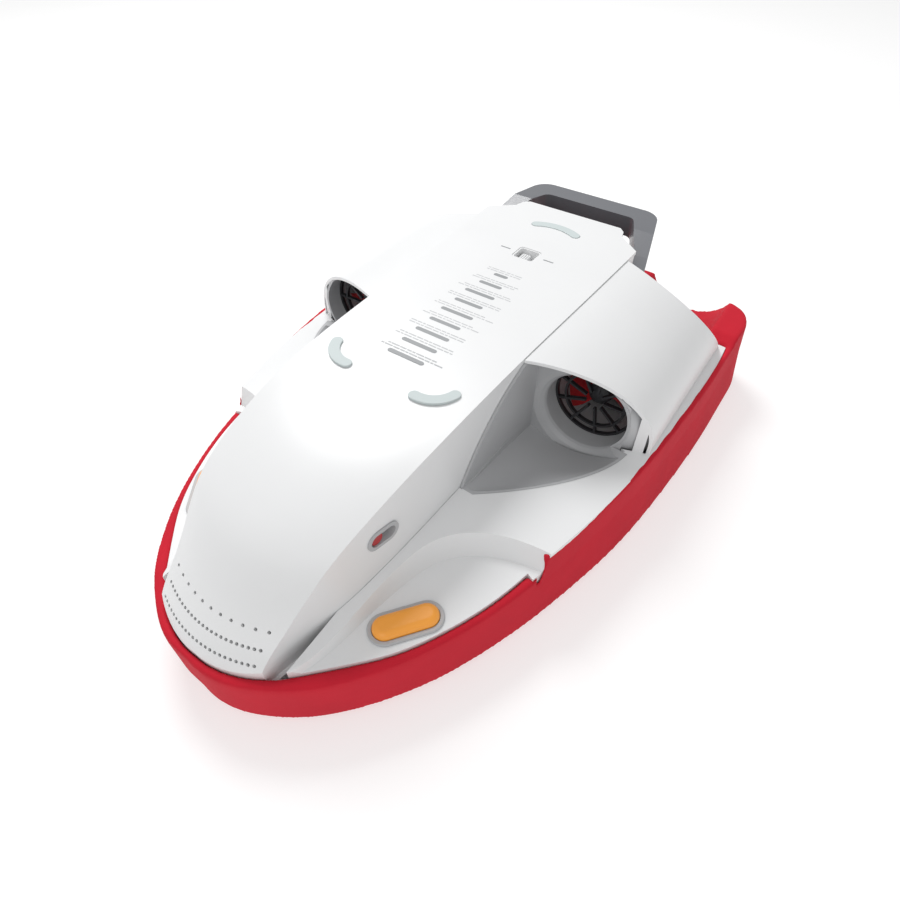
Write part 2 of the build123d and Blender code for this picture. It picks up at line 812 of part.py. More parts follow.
def stator_solid():
    """The motor pod, its vanes and the ring that holds them in the duct."""
    ring_y = pod_y + pod_length * 0.35
    ring_length = 20.0
    pod = turned(
        (
            (bearing_radius + fit, pod_y),
            (pod_radius - 4, pod_y),
            (pod_radius, pod_y + 5),
            (pod_radius, pod_y + pod_length),
            (pod_radius * 0.7, pod_y + pod_length + pod_tail * 0.6),
            (pod_radius * 0.25, pod_y + pod_length + pod_tail),
            (0, pod_y + pod_length + pod_tail),
            (0, rear_seat_y + seat_depth),
            (bearing_radius + fit, rear_seat_y + seat_depth),
            (bearing_radius + fit, rear_seat_y),
            (pod_radius - pod_wall, rear_seat_y),
            (pod_radius - pod_wall, motor_y),
            (bearing_radius + fit, motor_y),
        )
    )
    pod += tube(duct_radius - fit - pod_wall, duct_radius - fit, ring_y, ring_y + ring_length)
    with BuildPart() as vanes:
        with BuildSketch(on_duct(ring_y)):
            vane_middle = (pod_radius + duct_radius - fit - pod_wall) / 2
            with PolarLocations(vane_middle, stator_vanes, start_angle=90):
                Rectangle(duct_radius - fit - pod_radius, pod_wall)
        extrude(amount=ring_length)
    return pod + vanes.part


bearing = tube(bore, bearing_radius, pod_y + 0.5, pod_y + 0.5 + bearing_width)
rear_bearing = tube(bore, bearing_radius, rear_seat_y + 0.5, rear_seat_y + 0.5 + bearing_width)
shaft_end_y = rear_seat_y + bearing_width + 0.5
nose_cap_y = prop_y - 5.0
with BuildPart() as motor_cable:
    with BuildLine():
        inner_run = Line((controller_half, cable_y, cable_z), (duct_x - cable_bend, cable_y, cable_z))
        elbow = TangentArc(inner_run @ 1, (duct_x, cable_y, cable_z + cable_bend), tangent=inner_run % 1)
        Line(elbow @ 1, (duct_x, cable_y, duct_z - duct_outer - fit))
    with BuildSketch(Plane(inner_run @ 0, z_dir=inner_run % 0)):
        Circle(cable_radius)
    sweep()

# ---------------------------------------------------------------- trigger shapes
neck_length = button_length + 2 * bezel_rim - 2.5
neck_width = button_width + 2 * bezel_rim - 2.5
neck_low = button_low + button_lip + fit


def pill(length, width, low, high, plane):
    """A straight-sided pill across a plane, from low to high along its normal."""
    with BuildPart() as block:
        with BuildSketch(plane.offset(low)):
            SlotOverall(length, width)
        extrude(amount=high - low)
    return block.part


def trigger_bezel_solid():
    flange_length = button_length + 2 * bezel_rim
    flange_width = button_width + 2 * bezel_rim
    flange = pill(flange_length, flange_width, 0, bezel_height, button_plane)
    flange = chamfer(flange.edges().group_by(Axis.Z)[-1], 0.6)
    neck = pill(neck_length, neck_width, neck_low, 0, button_plane)
    bore_size = 2 * button_gap
    bore_length = button_length + bore_size
    bore_width = button_width + bore_size
    return flange + neck - pill(bore_length, bore_width, neck_low - 1, bezel_height + 1, button_plane)


def trigger_button_solid():
    cap = pill(button_length, button_width, button_low + button_lip, button_rise, button_plane)
    cap = fillet(cap.edges().group_by(Axis.Z)[-1], 4.5)
    lip_length = button_length + 2 * lip_width
    lip_across = button_width + 2 * lip_width
    return cap + pill(lip_length, lip_across, button_low, button_low + button_lip, button_plane)


def trigger_cup_solid():
    floor_z = foam_floor_z + wall - recess_floor_z
    inner_length = button_length + 2 * lip_width + 2 * button_gap
    inner_width = button_width + 2 * lip_width + 2 * button_gap
    outer_length = inner_length + 2 * cup_wall
    outer_width = inner_width + 2 * cup_wall
    outside = pill(outer_length, outer_width, floor_z, neck_low, button_plane)
    return outside - pill(inner_length, inner_width, floor_z + cup_floor, 0, button_plane)


spring_low = foam_floor_z + wall + cup_floor
spring_high = recess_floor_z + button_low
with BuildPart() as trigger_spring:
    rise = spring_high - spring_low - 2 * spring_wire
    with BuildLine():
        coil = Helix(pitch=rise / spring_turns, height=rise, radius=spring_radius)
    with BuildSketch(Plane(coil @ 0, z_dir=coil % 0)):
        Circle(spring_wire)
    sweep()
spring = trigger_spring.part.moved(
    Location((button_x, nose_y + button_nose, spring_low + spring_wire))
)

# ---------------------------------------------------------------- paired pieces
tube_end = math.hypot(cowl_rear_sweep, cowl_rear_lean) * duct_outer
tube_end += cowl_rear_lean * (duct_z - deck_z) + cowl_rear_sweep * (duct_x - hump_half)
outlet_y = hull_rear_y + cowl_rear_back - tube_end - guard_depth - 1.6
pairs = {
    "intake_duct": intake_duct_left.part,
    "intake_guard": guard(guard_y),
    "outlet_guard": guard(outlet_y),
    "propeller": propeller_solid(),
    "prop_nut": turned(
        (
            (0, nose_cap_y),
            (hub_radius * 0.55, nose_cap_y + 0.6),
            (hub_radius * 0.9, nose_cap_y + 2.6),
            (hub_radius, prop_y),
            (0, prop_y),
        )
    ),
    "motor_shaft": tube(0, shaft_radius, prop_y, shaft_end_y),
    "motor_pod": stator_solid(),
    "drive_motor": tube(shaft_radius + 1, pod_radius - pod_wall - fit, motor_y, motor_y + motor_length),
    "shaft_bearings": Compound(children=[bearing, rear_bearing]),
    "motor_cable": motor_cable.part,
    "trigger_bezel": trigger_bezel_solid(),
    "trigger_button": trigger_button_solid(),
    "trigger_cup": trigger_cup_solid(),
    "trigger_spring": spring,
}
for name, solid in pairs.items():
    with BuildPart() as left:
        add(solid)
    left.part.label = f"{name}_left"
    export_step(left.part, f"parts/{name}_left.step")
    with BuildPart() as right:
        mirror(solid, about=Plane.YZ)
    right.part.label = f"{name}_right"
    export_step(right.part, f"parts/{name}_right.step")


# ---------------------------------------------------------------- power switch
knob_radius = (switch_width - 2 * switch_rim) / 2 - button_gap
inner_length = switch_length - 2 * switch_rim - 2 * fit
inner_width = switch_width - 2 * switch_rim - 2 * fit
rim_length = switch_length + 2 * switch_rim
rim_width = switch_width + 2 * switch_rim

with BuildPart() as switch_bezel:
    add(pill(rim_length, rim_width, 0.3, 0.3 + switch_flange, switch_plane))
    add(pill(switch_length - 2 * fit, switch_width - 2 * fit, -switch_depth, 0.3, switch_plane))
    add(pill(inner_length, inner_width, -switch_depth - 1, 2, switch_plane), mode=Mode.SUBTRACT)
switch_bezel.part.label = "switch_bezel"
export_step(switch_bezel.part, "parts/switch_bezel.step")

with BuildPart() as switch_plate:
    add(pill(switch_length - 2 * fit, switch_width - 2 * fit, -switch_depth - 2, -switch_depth, switch_plane))
switch_plate.part.label = "switch_plate"
export_step(switch_plate.part, "parts/switch_plate.step")

with BuildPart() as switch_knob:
    with BuildSketch(switch_plane.offset(0.3 - switch_depth)):
        with Locations((-knob_travel / 2, 0)):
            Circle(knob_radius)
    extrude(amount=switch_depth)
    fillet(switch_knob.edges().sort_by(Axis.X)[-1], 0.6)
switch_knob.part.label = "switch_knob"
export_step(switch_knob.part, "parts/switch_knob.step")

# ---------------------------------------------------------------- battery bay
case_half = hump_half - cover_wall - slide_gap - sleeve_wall - 4.0
case_top = battery_z + battery_height
case_rear = hull_rear_y + 1.5
case_front = case_rear - battery_length
sleeve_top = case_top + slide_gap + sleeve_wall
sleeve_floor = battery_z - slide_gap - sleeve_wall
sleeve_front = case_front - slide_gap - sleeve_wall
sleeve_rear = hull_rear_y - 4.0
foot_inner = case_half + slide_gap + sleeve_wall + slide_gap
keel_x = controller_half + 8.0


def pin_rods(radius, reach):
    """Rods along X where the handle's feet meet the ends of the battery cap."""
    with BuildPart() as rods:
        for side in (-1, 1):
            for height in (battery_z + 12, battery_z + 30):
                with Locations((side * foot_inner, case_rear + cap_depth / 2, height)):
                    Cylinder(radius, 2 * reach, rotation=(0, 90, 0))
    return rods.part


handle_pin_holes = pin_rods(handle_pin_radius + fit / 2, 7.5)


with BuildPart() as battery_sleeve:
    add(slab(case_half + slide_gap + sleeve_wall, sleeve_front, sleeve_rear, sleeve_floor, sleeve_top))
    inner_half = case_half + slide_gap
    inner_top = sleeve_top - sleeve_wall
    inner_front = sleeve_front + sleeve_wall
    inner_floor = sleeve_floor + sleeve_wall
    add(slab(inner_half, inner_front, sleeve_rear + 1, inner_floor, inner_top), mode=Mode.SUBTRACT)
    for side in (-1, 1):
        keel_y = (sleeve_front + cover_end_y) / 2
        keel_low = foam_floor_z + wall
        with Locations((side * keel_x, keel_y, (keel_low + sleeve_floor) / 2)):
            Box(sleeve_wall, cover_end_y - sleeve_front, sleeve_floor - keel_low)
    with Locations((0, cable_y, cable_z)):
        Cylinder(cable_radius + fit, 3 * controller_half, rotation=(0, 90, 0), mode=Mode.SUBTRACT)
    with Locations((0, latch_y, inner_top)):
        Box(
            latch_travel + bolt_length + 2 * bolt_gap,
            bolt_width + 2 * bolt_gap,
            3 * sleeve_wall,
            mode=Mode.SUBTRACT,
        )
battery_sleeve.part.label = "battery_sleeve"
export_step(battery_sleeve.part, "parts/battery_sleeve.step")

with BuildPart() as bay_frame:
    frame_half = hump_half + 3.0
    frame_front = cover_end_y - frame_depth
    add(slab(frame_half, frame_front, cover_end_y, pan_top_z + 1, hull_top_z - cover_wall - seat_gap))
    add(slab(frame_half, frame_front, hull_rear_y - 1, deck_z - 4, deck_z - 4 + frame_depth))
    add(hump_block(0, hull_top_z, -cover_wall - seat_gap), mode=Mode.INTERSECT)
    sleeve_half = case_half + slide_gap + sleeve_wall + fit
    add(slab(sleeve_half, 0, tail_y, sleeve_floor - fit, sleeve_top + fit), mode=Mode.SUBTRACT)
    for side in (-1, 1):
        with Locations((side * keel_x, cover_end_y, (pan_top_z + sleeve_floor) / 2)):
            Box(sleeve_wall + 2 * fit, 4 * frame_depth, sleeve_floor - pan_top_z + 2, mode=Mode.SUBTRACT)
bay_frame.part.label = "bay_frame"
export_step(bay_frame.part, "parts/bay_frame.step")

# ---------------------------------------------------------------- battery pack
pin_z = battery_z + battery_height / 2
socket_radius = 2.6
latch_channel_x = -latch_travel / 2
seal_y = sleeve_rear - 12.0
seal_low = battery_z + seal_depth
seal_high = case_top - seal_depth
cavity_front = case_front + case_wall
cavity_half = case_half - case_wall
channel_end = latch_y + bolt_width / 2 + bolt_gap
with BuildPart() as battery_case:
    add(slab(case_half, case_front, case_rear, battery_z, case_top))
    fillet(battery_case.edges().filter_by(Axis.Y), 3)
    cavity = slab(cavity_half, cavity_front, case_rear + 1, battery_z + case_wall, case_top - case_wall)
    add(cavity, mode=Mode.SUBTRACT)
    add(slab(spine_half, cavity_front, case_rear, case_top - spine_depth, case_top - case_wall))
    with Locations((latch_channel_x, (case_front + channel_end) / 2, case_top)):
        Box(
            bolt_length + 2 * bolt_gap,
            channel_end - case_front,
            2 * (bolt_dip + bolt_gap),
            mode=Mode.SUBTRACT,
        )
    with Locations((0, latch_y, case_top)):
        Box(
            latch_travel + bolt_length + 2 * bolt_gap,
            bolt_width + 2 * bolt_gap,
            2 * (bolt_dip + bolt_gap),
            mode=Mode.SUBTRACT,
        )
    groove = slab(case_half + 1, seal_y, seal_y + seal_width, battery_z - 1, case_top + 1)
    groove -= slab(case_half - seal_depth, seal_y, seal_y + seal_width, seal_low, seal_high)
    add(groove, mode=Mode.SUBTRACT)
    for side in (-1, 0, 1):
        with Locations((side * pin_x, case_front, pin_z)):
            Cylinder(socket_radius, 4 * case_wall, rotation=(90, 0, 0), mode=Mode.SUBTRACT)
battery_case.part.label = "battery_case"
export_step(battery_case.part, "parts/battery_case.step")

with BuildPart() as battery_seal:
    proud = slide_gap * 0.4
    add(slab(case_half + proud, seal_y + fit, seal_y + seal_width - fit, battery_z - proud, case_top + proud))
    inner = slab(case_half - seal_depth, seal_y, seal_y + seal_width, seal_low, seal_high)
    add(inner, mode=Mode.SUBTRACT)
battery_seal.part.label = "battery_seal"
export_step(battery_seal.part, "parts/battery_seal.step")

cap_rear = case_rear + cap_depth
with BuildPart() as battery_cap:
    add(slab(foot_inner, case_rear, cap_rear, battery_z - 2, case_top - 1))
    fillet(battery_cap.edges().filter_by(Axis.Y), 6)
    rear_rim = battery_cap.edges().group_by(Axis.Y)[-1]
    chamfer(rear_rim, 1.5)
    plug_low = battery_z + case_wall + fit
    add(slab(cavity_half - fit, case_rear - 5, case_rear, plug_low, case_top - spine_depth - fit))
    add(handle_pin_holes, mode=Mode.SUBTRACT)
battery_cap.part.label = "battery_cap"
export_step(battery_cap.part, "parts/battery_cap.step")

cell_start = cavity_front + 2.0
cell_pitch_x = 2 * cell_radius + 0.6
cells_across = int((cavity_half - spine_half) // cell_pitch_x)
cell_layers = (battery_z + case_wall + cell_radius + 0.2, battery_z + case_wall + 3 * cell_radius + 0.8)
with BuildPart() as battery_cells:
    for side in (-1, 1):
        for across in range(cells_across):
            for layer in cell_layers:
                for row in range(cell_rows):
                    x = side * (spine_half + cell_radius + 0.6 + across * cell_pitch_x)
                    y = cell_start + row * (cell_length + 0.5)
                    with Locations((x, y, layer)):
                        Cylinder(
                            cell_radius,
                            cell_length,
                            rotation=(-90, 0, 0),
                            align=(Align.CENTER, Align.CENTER, Align.MIN),
                        )
battery_cells.part.label = "battery_cells"
export_step(battery_cells.part, "parts/battery_cells.step")

with BuildPart() as battery_board:
    board_low = battery_z + case_wall
    board_rear = cell_start + cell_rows * cell_length - 5
    add(slab(board_thickness / 2, cell_start + 5, board_rear, board_low, case_top - spine_depth - 3))
    add(slab(5, cell_start + 20, cell_start + 40, board_low + 8, board_low + 20))
battery_board.part.label = "battery_board"
export_step(battery_board.part, "parts/battery_board.step")

with BuildPart() as power_pins:
    for side in (-1, 0, 1):
        with Locations((side * pin_x, inner_front, pin_z)):
            Cylinder(
                pin_radius,
                pin_length,
                rotation=(-90, 0, 0),
                align=(Align.CENTER, Align.CENTER, Align.MIN),
            )
power_pins.part.label = "power_pins"
export_step(power_pins.part, "parts/power_pins.step")

with BuildPart() as battery_sockets:
    for side in (-1, 0, 1):
        with Locations((side * pin_x, case_front, pin_z)):
            Cylinder(
                socket_radius - fit / 2,
                case_wall + 1,
                rotation=(-90, 0, 0),
                align=(Align.CENTER, Align.CENTER, Align.MIN),
            )
            Cylinder(pin_radius + fit, 10 * case_wall, rotation=(90, 0, 0), mode=Mode.SUBTRACT)
battery_sockets.part.label = "battery_sockets"
export_step(battery_sockets.part, "parts/battery_sockets.step")

# ---------------------------------------------------------------- carry handle
bar_rear_y = tail_y - handle_rear
foot_outer = hump_half + 13.0
elbow_y = cap_rear + 14.0
corner_half = hump_half - 4.0
side_profile = (
    (case_rear + 0.5, battery_z),
    (case_rear + 0.5, battery_z + 23),
    (case_rear - 10.0, battery_z + 34),
    (case_rear + 3, battery_z + 41),
    (elbow_y + 2, handle_top_z - 1),
    (bar_rear_y + 20, handle_top_z),
    (bar_rear_y + 20, handle_top_z - handle_depth),
    (elbow_y + 4, handle_top_z - handle_depth - 4),
    (cap_rear + 6, battery_z + 4),
    (cap_rear, battery_z),
)
with BuildPart() as battery_handle:
    with BuildSketch(Plane.XY):
        with BuildLine():
            Polyline(
                (0, bar_rear_y),
                (corner_half - 3, bar_rear_y),
                (hump_half + 4, elbow_y),
                (foot_outer, case_rear - 8),
                (foot_outer, 0),
                (0, 0),
            )
            mirror(about=Plane.YZ)
        make_face()
        with BuildLine():
            Polyline(
                (0, bar_rear_y - handle_bar),
                (corner_half - handle_bar + 1, bar_rear_y - handle_bar),
                (foot_inner - 6, elbow_y - 4),
                (foot_inner, cap_rear + 0.2),
                (foot_inner, -5),
                (0, -5),
            )
            mirror(about=Plane.YZ)
        make_face(mode=Mode.SUBTRACT)
    extrude(amount=hull_top_z)
    upright = battery_handle.edges().filter_by(Axis.Z)
    fillet(upright.sort_by(Axis.Y)[-2:], 18)
    upright = battery_handle.edges().filter_by(Axis.Z)
    bar_corners = [
        edge
        for edge in upright
        if abs(edge.center().Y - (bar_rear_y - handle_bar)) < 0.1
    ]
    fillet(bar_corners, 8)
    add(lifted(side_profile, -board_width / 2, board_width), mode=Mode.INTERSECT)
    add(handle_pin_holes, mode=Mode.SUBTRACT)
battery_handle.part.label = "battery_handle"
export_step(battery_handle.part, "parts/battery_handle.step")

with BuildPart() as handle_pins:
    add(pin_rods(handle_pin_radius, 7.0))
handle_pins.part.label = "handle_pins"
export_step(handle_pins.part, "parts/handle_pins.step")

# ---------------------------------------------------------------- battery latch
slider_low = sleeve_top + latch_floor + bolt_gap
slider_high = slider_low + slider_height
latch_pocket_width = latch_width - 2 * seat_gap - 2 * latch_wall
latch_pocket_length = latch_length - 2 * seat_gap - 2 * latch_wall
with BuildPart() as latch_bezel:
    with BuildSketch(Plane.XY.offset(sleeve_top)):
        with Locations((0, latch_y)):
            RectangleRounded(latch_width - 2 * seat_gap, latch_length - 2 * seat_gap, 3 - seat_gap)
    extrude(amount=hull_top_z - 0.4 - sleeve_top)
    with BuildSketch(Plane.XY.offset(sleeve_top + latch_floor)):
        with Locations((0, latch_y)):
            RectangleRounded(latch_pocket_width, latch_pocket_length, 2)
    extrude(amount=hull_top_z, mode=Mode.SUBTRACT)
    with Locations((0, latch_y, sleeve_top)):
        Box(
            latch_travel + bolt_length + 2 * bolt_gap,
            bolt_width + 2 * bolt_gap,
            4 * latch_floor,
            mode=Mode.SUBTRACT,
        )
latch_bezel.part.label = "latch_bezel"
export_step(latch_bezel.part, "parts/latch_bezel.step")

with BuildPart() as latch_slider:
    with Locations((latch_channel_x, latch_y, (slider_low + slider_high) / 2)):
        Box(slider_length, latch_pocket_length - 1, slider_high - slider_low)
    fillet(latch_slider.edges().group_by(Axis.Z)[-1], 0.8)
    ridge_pitch = 2.0
    with Locations((latch_channel_x, latch_y, slider_high)):
        with GridLocations(ridge_pitch, 1, 3, 1):
            Box(0.9, latch_pocket_length - 5, 1.2)
    bolt_low = case_top - bolt_dip
    with Locations((latch_channel_x, latch_y, (bolt_low + slider_low + 1) / 2)):
        Box(bolt_length, bolt_width, slider_low + 1 - bolt_low)
latch_slider.part.label = "latch_slider"
export_step(latch_slider.part, "parts/latch_slider.step")

# ---------------------------------------------------------------- controller and buoyancy
box_low = foam_floor_z + wall
box_high = box_low + controller_height
box_front = cable_y - 0.75 * controller_length
box_rear = box_front + controller_length
box_wall = controller_wall
box_inner = controller_half - box_wall
with BuildPart() as controller_box:
    add(slab(controller_half, box_front, box_rear, box_low, box_high))
    fillet(controller_box.edges().filter_by(Axis.Z), 4)
    inside = slab(box_inner, box_front + box_wall, box_rear - box_wall, box_low + box_wall, box_high + 1)
    add(inside, mode=Mode.SUBTRACT)
    with Locations((0, (box_front + box_rear) / 2, box_low + box_wall)):
        with GridLocations(2 * controller_half - 16, box_rear - box_front - 16, 2, 2):
            Cylinder(3, 5, align=(Align.CENTER, Align.CENTER, Align.MIN))
controller_box.part.label = "controller_box"
export_step(controller_box.part, "parts/controller_box.step")

with BuildPart() as controller_lid:
    add(slab(controller_half, box_front, box_rear, box_high, box_high + lid_depth))
    fillet(controller_lid.edges().filter_by(Axis.Z), 4)
    chamfer(controller_lid.edges().group_by(Axis.Z)[-1], 0.8)
controller_lid.part.label = "controller_lid"
export_step(controller_lid.part, "parts/controller_lid.step")

with BuildPart() as control_board:
    board_z = box_low + box_wall + 5
    board_top = board_z + board_thickness
    add(slab(box_inner - 1, box_front + box_wall + 1, box_rear - box_wall - 1, board_z, board_top))
    with Locations((0, (box_front + box_rear) / 2, board_top)):
        with GridLocations(22, 30, 2, 2):
            Cylinder(6, 12, align=(Align.CENTER, Align.CENTER, Align.MIN))
control_board.part.label = "control_board"
export_step(control_board.part, "parts/control_board.step")

with BuildPart() as buoyancy_block:
    block_half = hump_half - block_side
    block_front = nose_y + block_nose
    block_rear = sleeve_front - 12.0
    add(slab(block_half, block_front, block_rear, box_low, deck_z + 10))
    chamfer(buoyancy_block.edges().group_by(Axis.Z)[-1], 4)
buoyancy_block.part.label = "buoyancy_block"
export_step(buoyancy_block.part, "parts/buoyancy_block.step")

# ---------------------------------------------------------------- screws
with BuildPart() as housing_screws:
    add(columns(bosses, screw_head_radius, foam_floor_z, foam_floor_z + wall - fit))
    add(columns(bosses, screw_radius, foam_floor_z, pan_top_z + screw_bite))
housing_screws.part.label = "housing_screws"
export_step(housing_screws.part, "parts/housing_screws.step")
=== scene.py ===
import json
import math

import bmesh
import bpy
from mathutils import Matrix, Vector


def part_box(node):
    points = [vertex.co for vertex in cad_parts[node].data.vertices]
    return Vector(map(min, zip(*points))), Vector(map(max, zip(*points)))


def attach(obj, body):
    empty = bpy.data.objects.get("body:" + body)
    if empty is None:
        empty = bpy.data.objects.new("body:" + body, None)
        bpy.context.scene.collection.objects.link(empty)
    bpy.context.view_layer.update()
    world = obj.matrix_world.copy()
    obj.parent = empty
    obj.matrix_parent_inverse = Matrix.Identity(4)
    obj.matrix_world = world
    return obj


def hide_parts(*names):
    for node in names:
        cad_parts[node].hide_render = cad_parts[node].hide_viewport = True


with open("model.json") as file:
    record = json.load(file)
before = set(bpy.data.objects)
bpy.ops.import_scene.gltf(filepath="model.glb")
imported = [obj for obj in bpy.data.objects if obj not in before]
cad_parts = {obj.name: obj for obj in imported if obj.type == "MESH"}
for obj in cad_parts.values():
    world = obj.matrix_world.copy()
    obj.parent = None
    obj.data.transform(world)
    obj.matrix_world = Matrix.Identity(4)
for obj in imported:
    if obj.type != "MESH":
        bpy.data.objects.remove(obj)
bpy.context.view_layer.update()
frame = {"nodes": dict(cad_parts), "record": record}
nodes = frame["nodes"]

# Landmarks, read from the frame
TOP_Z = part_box("centre_cover")[1][2]
BOARD_LOW = Vector(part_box("foam_deck")[0])
LATCH_LOW, LATCH_HIGH = (Vector(corner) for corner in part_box("latch_bezel"))


# ---------------------------------------------------------------- materials
def node_at(tree, kind, **values):
    node = tree.nodes.new(kind)
    for name, value in values.items():
        node.inputs[name].default_value = value
    return node


def surface(name, colour, roughness, grain, bump, tint=0.03, patch=14.0, metallic=0.0, coat=0.0, sheen=0.0):
    """A node material: fine moulded grain in the bump and the roughness, and slow colour patches."""
    made = bpy.data.materials.new(name)
    made.use_nodes = True
    tree = made.node_tree
    shader = tree.nodes["Principled BSDF"]
    link = tree.links.new
    place = tree.nodes.new("ShaderNodeTexCoord")
    slow = node_at(tree, "ShaderNodeTexNoise", Scale=patch, Detail=3.0, Roughness=0.55)
    fine = node_at(tree, "ShaderNodeTexNoise", Scale=grain, Detail=4.0, Roughness=0.6)
    link(place.outputs["Object"], slow.inputs["Vector"])
    link(place.outputs["Object"], fine.inputs["Vector"])
    shade = node_at(tree, "ShaderNodeMapRange")
    shade.inputs["From Min"].default_value = 0.3
    shade.inputs["From Max"].default_value = 0.7
    shade.inputs["To Min"].default_value = 1.0 - tint
    shade.inputs["To Max"].default_value = 1.0 + tint
    link(slow.outputs["Fac"], shade.inputs["Value"])
    colours = tree.nodes.new("ShaderNodeVectorMath")
    colours.operation = "SCALE"
    colours.inputs[0].default_value = colour
    link(shade.outputs["Result"], colours.inputs["Scale"])
    link(colours.outputs["Vector"], shader.inputs["Base Color"])
    gloss = node_at(tree, "ShaderNodeMapRange")
    gloss.inputs["From Min"].default_value = 0.3
    gloss.inputs["From Max"].default_value = 0.7
    gloss.inputs["To Min"].default_value = max(roughness - 0.06, 0.02)
    gloss.inputs["To Max"].default_value = min(roughness + 0.06, 1.0)
    link(fine.outputs["Fac"], gloss.inputs["Value"])
    link(gloss.outputs["Result"], shader.inputs["Roughness"])
    relief = node_at(tree, "ShaderNodeBump", Strength=0.5, Distance=bump)
    link(fine.outputs["Fac"], relief.inputs["Height"])
    link(relief.outputs["Normal"], shader.inputs["Normal"])
    shader.inputs["Metallic"].default_value = metallic
    shader.inputs["Coat Weight"].default_value = coat
    shader.inputs["Sheen Weight"].default_value = sheen
    return made


LOOKS = {
    "white_shell": surface("white_shell", (0.80, 0.805, 0.81), 0.36, 900.0, 0.00004, tint=0.012, coat=0.05),
    "pale_rubber": surface("pale_rubber", (0.55, 0.61, 0.61), 0.62, 1400.0, 0.00006, tint=0.02),
    "grey_plastic": surface("grey_plastic", (0.46, 0.465, 0.475), 0.38, 1100.0, 0.00005, tint=0.03),
    "black_plastic": surface("black_plastic", (0.022, 0.022, 0.025), 0.45, 1300.0, 0.00006, tint=0.1),
    "red_plastic": surface("red_plastic", (0.42, 0.012, 0.016), 0.4, 800.0, 0.00003, coat=0.05),
    "orange_plastic": surface("orange_plastic", (1.0, 0.40, 0.05), 0.38, 900.0, 0.00003, coat=0.05),
    "pale_insert": surface("pale_insert", (0.62, 0.62, 0.62), 0.4, 1200.0, 0.00004),
    "grey_handle": surface("grey_handle", (0.15, 0.155, 0.17), 0.36, 1400.0, 0.00006, tint=0.04, coat=0.1),
    "steel": surface("steel", (0.55, 0.55, 0.57), 0.3, 600.0, 0.00003, metallic=1.0),
    "brass_contact": surface("brass_contact", (0.78, 0.58, 0.25), 0.25, 600.0, 0.00002, metallic=1.0),
    "cell_wrap": surface("cell_wrap", (0.05, 0.16, 0.42), 0.3, 700.0, 0.00003),
    "circuit_board": surface("circuit_board", (0.02, 0.16, 0.05), 0.35, 500.0, 0.00004, tint=0.15, patch=90.0),
    "black_rubber": surface("black_rubber", (0.02, 0.02, 0.02), 0.7, 1200.0, 0.00006, tint=0.08),
    "white_foam": surface("white_foam", (0.82, 0.82, 0.8), 0.85, 500.0, 0.0002, tint=0.03),
}
FOAM = surface("red_foam", (0.56, 0.013, 0.030), 0.78, 1500.0, 0.00016, tint=0.05, patch=30.0)
FOAM.node_tree.nodes["Principled BSDF"].inputs["Specular IOR Level"].default_value = 0.2
PRINT = surface("print_grey", (0.30, 0.31, 0.32), 0.5, 1500.0, 0.00002)
FAINT = surface("print_faint", (0.52, 0.53, 0.54), 0.5, 1500.0, 0.00002)

for subpart in frame["record"]["subparts"]:
    look = LOOKS.get(subpart["material_slot"])
    piece = nodes[subpart["node"]]
    if look is not None:
        piece.data.materials.clear()
        piece.data.materials.append(look)


# ---------------------------------------------------------------- mesh helpers
def new_piece(name, mesh_data, body, look, smooth=True):
    made = bpy.data.objects.new(name, mesh_data)
    bpy.context.scene.collection.objects.link(made)
    mesh_data.materials.clear()
    mesh_data.materials.append(look)
    mesh_data.polygons.foreach_set("use_smooth", [smooth] * len(mesh_data.polygons))
    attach(made, body)
    return made


def applied(source, *modifiers):
    """The mesh of a temporary copy of source with the modifiers applied."""
    temp = bpy.data.objects.new("temp", source)
    bpy.context.scene.collection.objects.link(temp)
    for kind, values in modifiers:
        modifier = temp.modifiers.new(kind, kind)
        for key, value in values.items():
            setattr(modifier, key, value)
    graph = bpy.context.evaluated_depsgraph_get()
    result = bpy.data.meshes.new_from_object(temp.evaluated_get(graph))
    bpy.data.objects.remove(temp)
    return result


# ---------------------------------------------------------------- foam deck
CREASE_Z = 0.042  # the crease along the rim
RIM_TOP_Z = 0.0629  # just under the hull's edge
RIM_LEAN = 0.0019  # how far the rim's top stays inside the crease
RIM_THICK = 0.0065
RIM_FRONT_Y, RIM_REAR_Y = -0.096, 0.185


def crease_line(source, side):
    """The rim's crease on one side, from nose to tail, as the source's vertices on the crease sorted by y."""
    found = {}
    for vertex in source.vertices:
        x, y, z = vertex.co
        if abs(z - CREASE_Z) < 1e-5 and x * side > 0.09 and RIM_FRONT_Y < y < RIM_REAR_Y:
            found[round(y, 4)] = (x, y)
    points = [found[key] for key in sorted(found)]
    return [Vector(point) for point in points]


def rim_strip(target, source, side):
    """A closed strip that backs the foam's thin rim beside the hull, for the remesh to join."""
    line = crease_line(source, side)
    rings = []
    for index, point in enumerate(line):
        run = (line[min(index + 1, len(line) - 1)] - line[max(index - 1, 0)]).normalized()
        inward = Vector((-run.y, run.x)) * side
        corners = ((0.0002, CREASE_Z), (RIM_LEAN, RIM_TOP_Z), (RIM_THICK, RIM_TOP_Z), (RIM_THICK, CREASE_Z))
        rings.append([target.verts.new((*(point + inward * depth), z)) for depth, z in corners])
    for before, after in zip(rings, rings[1:]):
        for index in range(4):
            following = (index + 1) % 4
            target.faces.new((before[index], before[following], after[following], after[index]))
    target.faces.new(list(reversed(rings[0])))
    target.faces.new(rings[-1])


